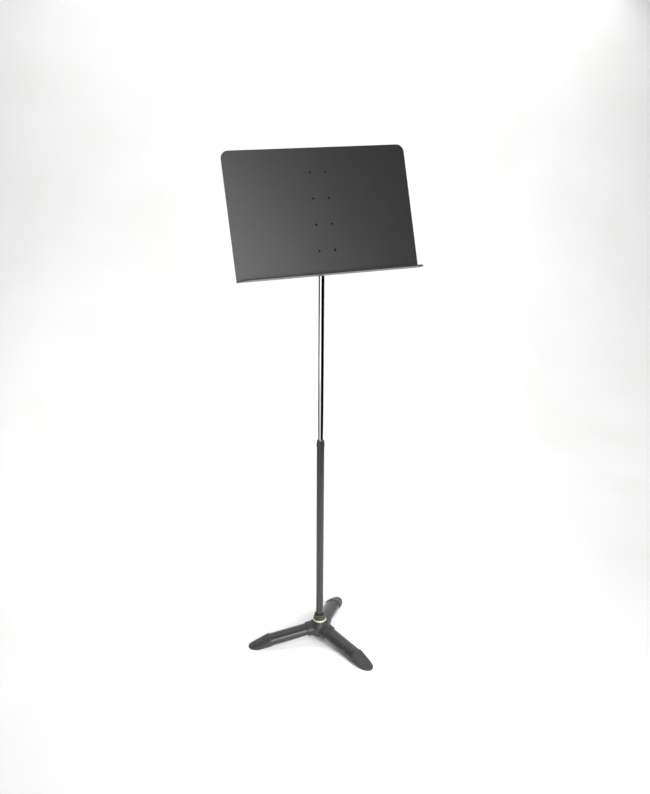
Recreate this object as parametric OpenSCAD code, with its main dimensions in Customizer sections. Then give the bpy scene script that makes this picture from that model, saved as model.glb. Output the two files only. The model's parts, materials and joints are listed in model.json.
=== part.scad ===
// Orchestra music stand: a steel desk on a telescopic post with a three-legged base.
// +Z is up, the desk faces -Y, and the origin is on the floor under the middle of the stand.

/* [Desk] */
// Width of the desk plate and its ledge
desk_w = 500; // [420:5:540]
// Height of the desk plate, measured along its slope
desk_h = 328; // [280:2:360]
// Depth of the ledge that holds the sheets
ledge_d = 50; // [40:1:60]
// Angle that the desk leans back from upright
desk_lean = 21.5; // [10:0.5:35]
// Thickness of the desk's sheet steel
desk_sheet = 1.2; // [1:0.1:2]
// Radius of the desk's two upper corners
desk_corner_r = 20; // [10:1:30]
// Radius of the ledge's two front corners
ledge_corner_r = 22; // [14:1:30]
// Radius of the rolled bead round the ledge's rim
bead_r = 1.8; // [1.2:0.1:2.2]

/* [Desk back] */
// Rows of rivets up the desk, two rivets to a row
rivet_rows = 4; // [3:1:4]
// Distance between two rows of rivets
rivet_pitch = 67.2; // [60:0.2:75]
// Distance between the two rivets of a row
rivet_gauge = 43; // [40:1:50]
// Depth of the stiffening channel behind the desk
spine_depth = 14; // [12:1:16]
// Width of the channel's raised middle
spine_crown_w = 31; // [29:1:33]

/* [Post] */
// Height of the tilt hinge above the floor with the post drawn out
hinge_z = 1225; // [1150:5:1240]
// Outer diameter of the painted lower tube
lower_d = 22; // [20:1:24]
// Outer diameter of the chromed inner tube
inner_d = 16; // [14:1:17]
// Height of the top end of the lower tube
lower_top_z = 645; // [600:5:680]
// Height of the guide bush above the lower tube's end
bush_h = 21; // [16:1:26]

/* [Base] */
// Distance from the post to the tip of each foot
leg_reach = 220; // [200:5:240]
// Width of the oval leg tubes
leg_w = 46; // [42:1:48]
// Height of the oval leg tubes
leg_h = 33; // [31:1:34]
// Radius of the legs' round sides
leg_side_r = 11.5; // [10:0.5:13]
// Slope of the legs down to the floor, in degrees
leg_slope = 9.5; // [9:0.5:10]
// Direction of the first leg, counted from +X
leg_turn = 173; // [170:1:176]

/* [Hidden] */
$fn = 64;
LEGS = 3;
wall = 1.5;
fit_gap = 0.05;
hole_gap = 0.15;

// Base
seam_r = 153;
leg_seam_z = leg_h / 2 + 1.2;
foot_proud = 2;
foot_fall = 16;
foot_taper_r = 165;
tip_r = 17;
tip_centre = leg_reach - tip_r;
leg_start_r = 27;
socket_end_r = 42;
socket_wall = 3;
socket_low = leg_h / 2 + socket_wall;
hub_floor_z = 18;
neck_z = 66.5;
spigot_r = 14;
spigot_top_z = 84;
ring_h = 4;
ring_r = 20;
nut_z = neck_z + ring_h;
nut_h = 16.5;
nut_foot_r = 18.6;
nut_top_r = 15.6;
nut_flutes = 24;
collet_r = 13.2;
collet_top_z = nut_z + nut_h + 3.5;
tube_foot_z = 26;
base_bolt_r = 4;
base_washer_h = 1.6;
leg_screw_r = 2.5;
leg_screw_at = 40;
post_y = -tip_centre * (sin(leg_turn + 120) + sin(leg_turn - 120)) / 2;

// Post
lower_bore_r = lower_d / 2 - wall;
bush_spigot = 31;
bush_bore_r = inner_d / 2 + fit_gap;
inner_wall = 1.2;
inner_bore_r = inner_d / 2 - inner_wall;
inner_foot_z = lower_top_z - bush_spigot - 8;
stem_r = 5;
sleeve_r = lower_bore_r - fit_gap;
sleeve_h = 44;
sleeve_top_z = inner_foot_z - 2.2;
sleeve_foot_z = sleeve_top_z - sleeve_h;
stem_foot_z = sleeve_foot_z - 0.3;

// Tilt hinge, in the desk's own directions: back from the desk's face and up from its fold
hinge_back = 34.5;
hinge_up = 88;
head_w = 18;
head_r = 12;
disc_h = 1.5;
ear_t = 3;
ear_in = head_w / 2 + disc_h;
ear_out = ear_in + ear_t;
tilt_r = 4;
plate_t = 2.5;
plate_back = desk_sheet + spine_depth;
plate_half = 38;
plate_screw_up = 28;
plate_screw_x = 8;
bracket_screw_r = 2.5;
spine_sheet = 1.5;
spine_end = 13;
fold_r = 1.5;
rivet_r = 2.5;
inner_top_z = hinge_z - 16;
head_pin_r = 2;
head_pin_z = inner_top_z - 14;

// ---- Places ----

// The post's own axis
module at_post(z = 0) {
    translate([0, post_y, z]) children();
}

// A leg's own frame: X runs out and down along the leg, starting over the post axis
module at_leg(i) {
    at_post(leg_seam_z + seam_r * tan(leg_slope))
        rotate([0, 0, leg_turn + i * 360 / LEGS])
            rotate([0, leg_slope, 0])
                children();
}

// The desk's own frame: X across, Y back from its face, Z up its slope from the fold
module at_desk() {
    at_post(hinge_z)
        rotate([-desk_lean, 0, 0])
            translate([0, -hinge_back, -hinge_up])
                children();
}

// Points of the desk's rivet rows
module each_rivet() {
    for (row = [0 : rivet_rows - 1])
        for (side = [-1, 1])
            translate([side * rivet_gauge / 2, 0, desk_h / 2 + (row - (rivet_rows - 1) / 2) * rivet_pitch])
                children();
}

// Places of the four screws that hold the tilt bracket
module each_bracket_screw() {
    for (side = [-1, 1])
        for (end = [-1, 1])
            translate([side * plate_screw_x, 0, hinge_up + end * plate_screw_up])
                children();
}

// ---- Shapes ----

module pipe(outer, inner, h) {
    difference() {
        cylinder(r = outer, h = h);
        translate([0, 0, -1]) cylinder(r = inner, h = h + 2);
    }
}

// A cylinder along +X
module rod_x(r, h) {
    rotate([0, 90, 0]) cylinder(r = r, h = h);
}

// A cylinder along +Y
module rod_y(r, h) {
    rotate([-90, 0, 0]) cylinder(r = r, h = h);
}

module hexagon(across, h) {
    cylinder(r = across / 2 / cos(30), h = h, $fn = 6);
}

// An oval of four tangent arcs: flatter ones above and below, tighter ones at its ends.
// The outline can be grown or shrunk by a constant wall.
module oval(w, h, end_r, grow = 0) {
    end_x = w / 2 - end_r;
    crown_r = (end_x ^ 2 + (h / 2) ^ 2 - end_r ^ 2) / (h - 2 * end_r);
    rise = crown_r - h / 2;
    meet_x = end_x * (crown_r + grow) / (crown_r - end_r);
    intersection() {
        translate([0, rise]) circle(r = crown_r + grow);
        translate([0, -rise]) circle(r = crown_r + grow);
        square([2 * meet_x, 2 * h], center = true);
    }
    for (side = [-1, 1])
        translate([side * end_x, 0]) circle(r = end_r + grow);
}

// The leg's section drawn out along +X
module leg_bar(grow, length) {
    rotate([90, 0, 90]) linear_extrude(length) oval(leg_w, leg_h, leg_side_r, grow);
}

// A plate whose two far corners are round, centred on X with its near edge on Y = 0
module plate_outline(w, d, r) {
    translate([-w / 2, 0]) square([w, d - r]);
    translate([r - w / 2, 0]) square([w - 2 * r, d]);
    for (side = [-1, 1])
        translate([side * (w / 2 - r), d - r]) circle(r = r);
}

// ---- Base ----

module hub_casting() color("#3a3b3c") {
    difference() {
        union() {
            at_post() rotate_extrude() polygon([
                [0, hub_floor_z], [24, hub_floor_z], [31, hub_floor_z + 5], [34.5, 32], [34.5, 43],
                [31.5, 51], [25, 58.5], [19.5, 63], [19.5, neck_z], [spigot_r, neck_z],
                [spigot_r, spigot_top_z], [0, spigot_top_z]]);
            for (i = [0 : LEGS - 1])
                at_leg(i) translate([6, 0, 0]) leg_bar(socket_wall, socket_end_r - 6);
        }
        // Seat of the lower tube and the hole for the base bolt
        at_post(tube_foot_z) cylinder(r = lower_d / 2, h = 100);
        at_post(0) cylinder(r = base_bolt_r + hole_gap, h = 40);
        // Sockets and fixing holes of the legs
        for (i = [0 : LEGS - 1])
            at_leg(i) {
                translate([leg_start_r, 0, 0]) leg_bar(0, 60);
                translate([leg_screw_at, 0, -socket_low - 5]) cylinder(r = leg_screw_r, h = 10);
            }
    }
}

module leg_tube(i) color("#4a4a4a") {
    at_leg(i) difference() {
        translate([leg_start_r, 0, 0]) leg_bar(0, seam_r / cos(leg_slope) - leg_start_r);
        translate([leg_start_r - 1, 0, 0]) leg_bar(-wall, seam_r + 20);
        translate([leg_screw_at, 0, -leg_h]) cylinder(r = leg_screw_r, h = leg_h);
    }
}

// An end plug: a spigot inside the tube, a flat sole, and a top that falls to a round tip
module foot(i) color("#4d4d4d") {
    seam = seam_r / cos(leg_slope);
    crown = leg_h / 2 + foot_proud;
    intersection() {
        union() {
            at_leg(i) translate([seam - 22, 0, 0]) leg_bar(-wall, 30);
            intersection() {
                at_leg(i) translate([seam, 0, 0]) leg_bar(foot_proud, 80);
                at_leg(i) translate([seam + 3, 0, crown]) rotate([0, foot_fall, 0])
                    translate([-20, 0, -crown]) leg_bar(foot_proud, 110);
            }
        }
        at_post() rotate([0, 0, leg_turn + i * 360 / LEGS]) {
            translate([100, -30, 0]) cube([foot_taper_r - 100, 60, 60]);
            translate([foot_taper_r, 0, 0]) linear_extrude(60)
                oval(2 * (leg_reach - foot_taper_r), leg_w + 2 * foot_proud, tip_r);
        }
    }
}

module leg_screws() color("#8b8d8f") {
    for (i = [0 : LEGS - 1])
        at_leg(i) translate([leg_screw_at, 0, 0]) {
            translate([0, 0, -socket_low - 0.4]) cylinder(r = leg_screw_r, h = 7);
            translate([0, 0, -socket_low - 2.6]) cylinder(r = 4.6, h = 2.6);
        }
}

module base_bolt() color("#8b8d8f") {
    under = hub_floor_z - base_washer_h;
    at_post(under) cylinder(r = base_bolt_r, h = 36);
    at_post(under - 5.3) hexagon(13, 5.3);
}

module base_washer() color("#a0a2a4") {
    at_post(hub_floor_z - base_washer_h) pipe(8.5, base_bolt_r, base_washer_h);
}

// Steel plug pressed into the lower tube, with the base bolt's thread
module tube_plug() color("#8b8d8f") {
    at_post(tube_foot_z) pipe(lower_bore_r, base_bolt_r, 28);
}

module colour_ring() color("#d3d8b4") {
    at_post(neck_z) pipe(ring_r, spigot_r, ring_h);
}

// Nut that closes the collet on the lower tube; its flank carries upright flutes
module collar_nut() color("#6b6c63") {
    at_post(nut_z) difference() {
        rotate_extrude() polygon([
            [spigot_r + fit_gap, 0], [nut_foot_r, 0], [nut_foot_r, 4],
            [nut_top_r + 0.6, nut_h - 2.5], [nut_top_r, nut_h], [collet_r, nut_h],
            [collet_r, nut_h - 3], [spigot_r + fit_gap, nut_h - 3]]);
        for (k = [0 : nut_flutes - 1])
            rotate([0, 0, k * 360 / nut_flutes]) translate([nut_foot_r + 0.2, 0, 2])
                rotate([0, -9, 0]) cylinder(r = 1, h = nut_h - 5, $fn = 16);
    }
}

// Split ring that grips the tube, with a slot so that it can close
module collet_ring() color("#232323") {
    at_post(spigot_top_z) difference() {
        pipe(collet_r - 0.3, lower_d / 2, collet_top_z - spigot_top_z);
        translate([0, -0.75, -1]) cube([30, 1.5, 20]);
    }
}

// ---- Lower tube and guide ----

module lower_tube() color("#4a4a4a") {
    at_post(tube_foot_z) pipe(lower_d / 2, lower_bore_r, lower_top_z - tube_foot_z);
}

// Bush that caps the lower tube and guides the inner one
module guide_bush() color("#1f1f20") {
    at_post(lower_top_z) rotate_extrude() polygon([
        [bush_bore_r, -bush_spigot], [lower_bore_r, -bush_spigot], [lower_bore_r, 0],
        [lower_d / 2 + 0.6, 0], [lower_d / 2 + 0.6, 7], [inner_d / 2 + 2.2, bush_h - 2],
        [inner_d / 2 + 1, bush_h], [bush_bore_r, bush_h]]);
}

// ---- Sliding clutch ----

// Nylon sleeve that grips the bore of the lower tube; the inner tube's stem turns in it
module clutch_sleeve() color("#d9d6cb") {
    at_post(sleeve_foot_z) difference() {
        pipe(sleeve_r, stem_r + fit_gap, sleeve_h);
        // Groove of the spring and two relief slots
        translate([0, 0, 15]) pipe(sleeve_r + 1, sleeve_r - 1.6, 14);
        for (side = [-1, 1])
            translate([-0.75, side * 8 - 2, 3]) cube([1.5, 4, sleeve_h - 6]);
    }
}

// Open ring that rides in the sleeve's groove and presses on the tube
module clutch_spring() color("#9c9ea0") {
    at_post(sleeve_foot_z + 15.5) difference() {
        pipe(sleeve_r, sleeve_r - 1.2, 13);
        translate([0, -2, -1]) cube([30, 4, 20]);
    }
}

// ---- Inner tube ----

module inner_tube() color("#c9cbcd") {
    difference() {
        at_post(inner_foot_z) pipe(inner_d / 2, inner_bore_r, inner_top_z - inner_foot_z);
        at_post(head_pin_z) translate([-inner_d, 0, 0]) rod_x(head_pin_r, 2 * inner_d);
    }
}

// Plug in the inner tube's foot: a flange, and the stem that the clutch turns on
module inner_end_plug() color("#8b8d8f") {
    difference() {
        union() {
            at_post(stem_foot_z) cylinder(r = stem_r, h = inner_foot_z - stem_foot_z);
            at_post(sleeve_top_z) cylinder(r = inner_d / 2, h = inner_foot_z - sleeve_top_z);
            at_post(inner_foot_z) cylinder(r = inner_bore_r, h = 30);
        }
        at_post(stem_foot_z - 1) cylinder(r = 2.5, h = 15);
    }
}

module clutch_washer() color("#a0a2a4") {
    at_post(stem_foot_z - 1.5) pipe(8, 2.5, 1.5);
}

module clutch_screw() color("#8b8d8f") {
    at_post(stem_foot_z - 1.5) cylinder(r = 2.5, h = 13);
    at_post(stem_foot_z - 5) difference() {
        cylinder(r = 4.5, h = 3.5);
        translate([0, 0, -1]) hexagon(4, 3);
    }
}

// Head of the post: a spigot in the tube, a collar on its end and an eye for the tilt bolt
module head_block() color("#8f9193") {
    neck = inner_top_z - hinge_z;
    at_post(hinge_z) difference() {
        union() {
            translate([0, 0, neck - 28]) cylinder(r = inner_bore_r, h = 30);
            translate([0, 0, neck]) cylinder(r = 9, h = 7);
            translate([-head_w / 2, 0, 0]) rod_x(head_r, head_w);
            translate([-head_w / 2 + 1, -6, neck + 3]) cube([head_w - 2, 12, -neck - 3]);
        }
        translate([-30, 0, 0]) rod_x(tilt_r + fit_gap, 60);
        translate([-30, 0, head_pin_z - hinge_z]) rod_x(head_pin_r, 60);
    }
}

// Spring pin across the tube and the head's spigot
module head_pin() color("#8b8d8f") {
    at_post(head_pin_z) translate([-inner_d / 2 + 0.6, 0, 0]) rod_x(head_pin_r, inner_d - 1.2);
}

// ---- Desk ----

module tilt_bolt() color("#8b8d8f") {
    at_post(hinge_z) {
        translate([-ear_out - 5.3, 0, 0]) rod_x(tilt_r, 2 * ear_out + 20);
        translate([-ear_out - 5.3, 0, 0]) rotate([0, 90, 0]) hexagon(13, 5.3);
    }
}

module tilt_washers() color("#a0a2a4") {
    at_post(hinge_z) for (x = [ear_out, ear_out + 5.4])
        translate([x, 0, 0]) rotate([0, 90, 0]) pipe(8, tilt_r, 1.2);
}

// Two cone springs back to back, which keep the joint stiff
module disc_springs() color("#7d7f82") {
    at_post(hinge_z) translate([ear_out + 1.2, 0, 0]) rotate([0, 90, 0]) rotate_extrude() polygon([
        [tilt_r, 0], [8, 1], [8, 3.2], [tilt_r, 4.2], [tilt_r, 3], [7, 2.1], [tilt_r, 1.2]]);
}

module tilt_nut() color("#8b8d8f") {
    at_post(hinge_z) translate([ear_out + 6.6, 0, 0]) rotate([0, 90, 0]) difference() {
        union() {
            hexagon(13, 6.5);
            cylinder(r = 5.4, h = 8);
        }
        translate([0, 0, -1]) cylinder(r = tilt_r, h = 12);
    }
}

module friction_discs() color("#2b2b2b") {
    at_post(hinge_z) for (x = [-ear_in, head_w / 2])
        translate([x, 0, 0]) rotate([0, 90, 0]) pipe(11, tilt_r, disc_h);
}

// Plate and ledge bent from one sheet, with a rolled bead round the ledge's rim
module desk_panel() color("#47474a") {
    rim_w = desk_w - 2 * bead_r;
    rim_d = ledge_d - bead_r;
    rim_corner = ledge_corner_r - bead_r;
    bead_start = 8;
    at_desk() difference() {
        union() {
            translate([0, desk_sheet, fold_r]) rotate([90, 0, 0]) linear_extrude(desk_sheet)
                plate_outline(desk_w, desk_h - fold_r, desk_corner_r);
            translate([0, 0, -desk_sheet]) mirror([0, 1, 0]) linear_extrude(desk_sheet) difference() {
                plate_outline(rim_w, rim_d, rim_corner);
                translate([-desk_w, -1]) square([2 * desk_w, fold_r + 1]);
            }
            // Bend between the plate and the ledge
            translate([-desk_w / 2, -fold_r, fold_r]) rotate([0, 90, 0]) intersection() {
                pipe(fold_r + desk_sheet, fold_r, desk_w);
                cube([10, 10, desk_w]);
            }
            // Bead: two sides, two corners and the front
            translate([0, 0, -desk_sheet / 2]) {
                for (side = [-1, 1]) {
                    translate([side * rim_w / 2, rim_corner - rim_d, 0])
                        rod_y(bead_r, rim_d - rim_corner - bead_start);
                    translate([side * rim_w / 2, -bead_start, 0]) sphere(r = bead_r);
                    translate([side * (rim_w / 2 - rim_corner), rim_corner - rim_d, 0])
                        rotate([0, 0, side > 0 ? -90 : 180]) rotate_extrude(angle = 90)
                            translate([rim_corner, 0]) circle(r = bead_r);
                }
                translate([rim_corner - rim_w / 2, -rim_d, 0]) rod_x(bead_r, rim_w - 2 * rim_corner);
            }
        }
        each_rivet() translate([0, -5, 0]) rod_y(rivet_r, 10);
    }
}

// Hat-shaped channel behind the plate: its flanges are riveted, its crown carries the bracket
module desk_spine() color("#3c3c3e") {
    half = (rivet_rows - 1) / 2 * rivet_pitch + spine_end;
    flange = rivet_gauge / 2 + 7;
    crown = spine_crown_w / 2;
    at_desk() difference() {
        translate([0, desk_sheet, desk_h / 2 - half]) linear_extrude(2 * half) difference() {
            union() {
                translate([-flange, 0]) square([2 * flange, spine_sheet]);
                translate([-crown, 0]) square([2 * crown, spine_depth]);
            }
            translate([spine_sheet - crown, -1])
                square([2 * (crown - spine_sheet), spine_depth - spine_sheet + 1]);
        }
        each_rivet() rod_y(rivet_r, 6);
        each_bracket_screw() translate([0, 8, 0]) rod_y(bracket_screw_r + hole_gap, 12);
    }
}

module desk_rivets() color("#2f2f30") {
    at_desk() each_rivet() {
        translate([0, 0.3, 0]) rod_y(rivet_r, desk_sheet + spine_sheet - 0.3);
        translate([0, desk_sheet + spine_sheet, 0]) rod_y(4, 1.6);
    }
}

// U-shaped bracket: a base plate on the spine and two ears that hold the tilt bolt
module tilt_bracket() color("#3c3c3e") {
    at_desk() difference() {
        union() {
            translate([-ear_out, plate_back, hinge_up - plate_half])
                cube([2 * ear_out, plate_t, 2 * plate_half]);
            for (x = [-ear_out, ear_in]) {
                translate([x, hinge_back, hinge_up]) rod_x(head_r + 1, ear_t);
                translate([x, plate_back + 1, hinge_up - head_r - 1])
                    cube([ear_t, hinge_back - plate_back - 1, 2 * head_r + 2]);
            }
        }
        translate([-30, hinge_back, hinge_up]) rod_x(tilt_r + hole_gap, 60);
        each_bracket_screw() translate([0, 8, 0]) rod_y(bracket_screw_r + hole_gap, 20);
    }
}

module bracket_screws() color("#8b8d8f") {
    at_desk() each_bracket_screw() {
        translate([0, 6, 0]) rod_y(bracket_screw_r, plate_back + plate_t - 6);
        translate([0, plate_back + plate_t, 0]) rod_y(4.4, 2.8);
    }
}

module bracket_nuts() color("#8b8d8f") {
    at_desk() each_bracket_screw()
        translate([0, plate_back - spine_sheet - 4, 0]) rotate([-90, 0, 0]) difference() {
            hexagon(8, 4);
            translate([0, 0, -1]) cylinder(r = bracket_screw_r, h = 6);
        }
}

hub_casting();
leg_tube(0);  // leg_tube_1
leg_tube(1);  // leg_tube_2
leg_tube(2);  // leg_tube_3
foot(0);  // foot_1
foot(1);  // foot_2
foot(2);  // foot_3
leg_screws();
base_bolt();
base_washer();
tube_plug();
colour_ring();
collar_nut();
collet_ring();
lower_tube();
guide_bush();
clutch_sleeve();
clutch_spring();
inner_tube();
inner_end_plug();
clutch_washer();
clutch_screw();
head_block();
head_pin();
tilt_bolt();
tilt_nut();
tilt_washers();
disc_springs();
friction_discs();
desk_panel();
desk_spine();
desk_rivets();
tilt_bracket();
bracket_screws();
bracket_nuts();
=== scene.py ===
import json
import math
from collections import namedtuple

import bmesh
import bpy
from mathutils import Matrix, Vector


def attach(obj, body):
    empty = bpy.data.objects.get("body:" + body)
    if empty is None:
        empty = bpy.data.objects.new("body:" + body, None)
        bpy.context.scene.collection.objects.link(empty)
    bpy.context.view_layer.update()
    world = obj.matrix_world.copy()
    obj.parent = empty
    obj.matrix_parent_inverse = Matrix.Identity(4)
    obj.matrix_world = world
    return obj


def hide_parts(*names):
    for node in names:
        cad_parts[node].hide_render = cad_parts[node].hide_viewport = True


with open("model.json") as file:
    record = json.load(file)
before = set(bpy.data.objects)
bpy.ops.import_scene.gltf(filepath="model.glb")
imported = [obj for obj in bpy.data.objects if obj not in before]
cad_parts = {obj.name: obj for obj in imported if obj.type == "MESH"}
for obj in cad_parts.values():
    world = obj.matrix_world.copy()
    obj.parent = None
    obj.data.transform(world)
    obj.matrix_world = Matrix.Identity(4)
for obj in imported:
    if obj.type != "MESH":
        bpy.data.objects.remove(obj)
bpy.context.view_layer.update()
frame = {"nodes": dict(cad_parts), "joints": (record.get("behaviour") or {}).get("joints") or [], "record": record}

bl_info = {
    "name": "Orchestra Music Stand",
    "version": (1, 0, 0),
    "blender": (4, 5, 0),
    "location": "View3D > Sidebar > Music Stand",
    "description": "Finishes and detailed pieces for a free-standing orchestra music stand",
    "category": "Add Mesh",
}

MM = 0.001
NODES = frame["nodes"]
JOINTS = {joint["name"]: joint for joint in frame["joints"]}
MOUNTS = {mount["name"]: mount for mount in frame["record"]["mounts"]}
SLOTS = {part["node"]: part["material_slot"] for part in frame["record"]["subparts"]}
BODY_OF = {
    node: body
    for body, nodes in frame["record"]["behaviour"]["bodies"].items()
    for node in nodes
}

# Sizes of the fasteners and holes, in millimetres
RIVET_RADIUS = 2.5
RIVET_HEAD = 4.0
SCREW_RADIUS = 2.5
BOLT_RADIUS = 4.0
BOLT_HEAD = 5.3
BOLT_FLATS = 13
LEG_SCREW_AT = 40
LEGS = (1, 2, 3)

# Size of the even faces of cast and moulded pieces
CAST_FACE = 0.8

# A button head: its radius, the height of its rim, the radius of its flat crown, the mouth
# and floor of its socket, its whole height, and the socket's width across its flats
ButtonHead = namedtuple("ButtonHead", "radius rim crown mouth floor height flats")
BRACKET_HEAD = ButtonHead(4.4, 1.0, 2.6, 2.1, 1.5, 2.8, 2.5)
LEG_HEAD = ButtonHead(4.6, 0.9, 2.9, 2.2, 1.6, 2.6, 2.8)


# ---- Places

def post_axis():
    """The point where the post's axis meets the floor."""
    x, y, _ = JOINTS["desk_swivel"]["pos_m"]
    return Vector((x, y, 0))


def desk_frame():
    """The desk's own frame: X across, Y back from its face, Z up its slope from the fold."""
    face = MOUNTS["desk_face"]
    ledge = MOUNTS["ledge_top"]
    up = Vector(ledge["axis"]).normalized()
    back = -Vector(face["axis"]).normalized()
    middle = Vector(face["pos_m"])
    fold = middle + up * (Vector(ledge["pos_m"]) - middle).dot(up)
    across = back.cross(up)
    matrix = Matrix((across, back, up)).transposed().to_4x4()
    matrix.translation = fold
    return matrix


def hinge_frame():
    """The tilt hinge's frame: Z along the bolt, towards the nut."""
    turn = Matrix.Rotation(math.radians(90), 4, "Y")
    return Matrix.Translation(Vector(JOINTS["desk_tilt"]["pos_m"])) @ turn


def foot_frame(number):
    """A foot's frame on the floor: X runs outwards from the post, Z is up."""
    out = Vector(MOUNTS[f"foot_sole_{number}"]["pos_m"]) - post_axis()
    turn = Matrix.Rotation(math.atan2(out.y, out.x), 4, "Z")
    return Matrix.Translation(post_axis()) @ turn


def leg_frame(number, sizes):
    """A leg's own frame: X runs out and down along the tube, from over the post's axis."""
    seam_height = sizes.leg_height / 2 + sizes.leg_lift
    lift = Matrix.Translation((0, 0, seam_height + sizes.leg_seam * math.tan(sizes.leg_slope)))
    return foot_frame(number) @ lift @ Matrix.Rotation(sizes.leg_slope, 4, "Y")


def box_in(node, matrix):
    """The lowest and highest corners of a CAD node, measured in another frame."""
    inverse = matrix.inverted()
    points = [inverse @ vertex.co for vertex in NODES[node].data.vertices]
    low = Vector([min(point[axis] for point in points) for axis in range(3)])
    high = Vector([max(point[axis] for point in points) for axis in range(3)])
    return low, high


def span(node, matrix, axis=2):
    """A CAD node's lowest and highest place along a frame's axis, in millimetres."""
    low, high = box_in(node, matrix)
    return low[axis] / MM, high[axis] / MM


def at_height(millimetres):
    """A frame on the post's axis, that far above the floor."""
    return Matrix.Translation(post_axis() + Vector((0, 0, millimetres * MM)))


def fastener_places(node, head, rows):
    """Frames of a node's rivets or screws, which stand in two columns of that many rows and
    have heads of that radius, in the desk's frame: Z goes through the sheet, to the back."""
    low, high = box_in(node, desk_frame())
    head *= MM
    places = []
    for k in range(rows):
        up = low.z + head + (high.z - low.z - 2 * head) * k / (rows - 1)
        for across in (low.x + head, high.x - head):
            places.append(Matrix.Translation((across, 0, up)) @ Matrix.Rotation(-math.pi / 2, 4, "X"))
    return places


def rivet_places():
    """Frames of the desk's rivets, in the desk's frame."""
    return fastener_places("desk_rivets", RIVET_HEAD, 4)


def bracket_screw_places():
    """Frames of the tilt bracket's screws, in the desk's frame."""
    return fastener_places("bracket_screws", BRACKET_HEAD.radius, 2)


# ---- Materials

def linear_from_hex(text):
    """An sRGB hex colour as the linear RGBA that shaders take."""
    channels = [int(text[i:i + 2], 16) / 255 for i in (1, 3, 5)]
    linear = [c / 12.92 if c <= 0.04045 else ((c + 0.055) / 1.055) ** 2.4 for c in channels]
    return (*linear, 1.0)


def shaded(colour, factor):
    """A colour made that many times as light."""
    return (*[channel * factor for channel in colour[:3]], 1.0)


def per_metre(millimetres):
    """A texture's scale in metres for a pattern whose features are that far apart."""
    return 1 / (millimetres * MM)


def add_node(tree, kind, settings=(), links=()):
    """Adds a node. Settings go to its properties or input sockets, links to its inputs."""
    node = tree.nodes.new(kind)
    for name, value in dict(settings).items():
        if isinstance(name, str) and hasattr(node, name):
            setattr(node, name, value)
        else:
            node.inputs[name].default_value = value
    for name, (source, output) in dict(links).items():
        tree.links.new(source.outputs[output], node.inputs[name])
    return node


# A pattern of cloudy grain: the distance between its features in millimetres (or one such
# distance for each axis, where the surface was drawn or rubbed along one), how many finer
# layers it has, and how strong those are.
Grain = namedtuple("Grain", "spacing detail rough", defaults=(2.0, 0.5))

# Where a grain's values blend from the dark colour to the light one
TONE_BLEND = (0.3, 0.7)


def surface_finish(name, grains, colour, gloss, bumps=(), surface=(), blend=TONE_BLEND):
    """A named finish whose colour, gloss and bumps follow its grains, in the object's own
    space. Colour is (grain, dark, light), gloss is (grain, lowest roughness, highest) or
    None, each bump is (grain, strength, height in mm), and surface holds the shader's own
    values."""
    material = bpy.data.materials.new(name)
    material.use_nodes = True
    tree = material.node_tree
    tree.nodes.clear()
    place = add_node(tree, "ShaderNodeTexCoord")
    made = {}
    for title, grain in grains.items():
        source, scale = (place, "Object"), 1.0
        if isinstance(grain.spacing, tuple):
            stretch = {"Scale": [per_metre(spacing) for spacing in grain.spacing]}
            source = (add_node(tree, "ShaderNodeMapping", stretch, {"Vector": source}), "Vector")
        else:
            scale = per_metre(grain.spacing)
        noise = {"Scale": scale, "Detail": grain.detail, "Roughness": grain.rough}
        made[title] = (add_node(tree, "ShaderNodeTexNoise", noise, {"Vector": source}), "Fac")
    grain, dark, light = colour
    ramp = add_node(tree, "ShaderNodeValToRGB", {}, {"Fac": made[grain]})
    for stop, position, tone in zip(ramp.color_ramp.elements, blend, (dark, light)):
        stop.position = position
        stop.color = tone
    links = {"Base Color": (ramp, "Color")}
    if gloss:
        grain, low, high = gloss
        span = {"To Min": low, "To Max": high}
        rough = add_node(tree, "ShaderNodeMapRange", span, {"Value": made[grain]})
        links["Roughness"] = (rough, "Result")
    for grain, strength, height in bumps:
        below = {"Normal": links["Normal"]} if "Normal" in links else {}
        relief = {"Strength": strength, "Distance": height * MM}
        bump = add_node(tree, "ShaderNodeBump", relief, {"Height": made[grain], **below})
        links["Normal"] = (bump, "Normal")
    shader = add_node(tree, "ShaderNodeBsdfPrincipled", surface, links)
    add_node(tree, "ShaderNodeOutputMaterial", {}, {"Surface": (shader, "BSDF")})
    return material


def moulded_polymer(name, base, smooth, coarse):
    """A plain moulded engineering plastic: an even tone with the fine spark-eroded grain of
    its tool."""
    return surface_finish(
        name, {"grain": Grain(0.7)}, ("grain", shaded(base, 0.85), base),
        ("grain", smooth, coarse), [("grain", 0.2, 0.06)], {"IOR": 1.5},
    )


def plain_metal(name, dark, light, smooth, coarse, spacing):
    """Bare or plated metal whose crystals or turning marks vary its tone and its gloss."""
    return surface_finish(
        name, {"grain": Grain(spacing, 4.0, 0.55)},
        ("grain", linear_from_hex(dark), linear_from_hex(light)),
        ("grain", smooth, coarse), [("grain", 0.12, 0.05)], {"Metallic": 1.0},
    )


MATERIALS = {}


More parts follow.
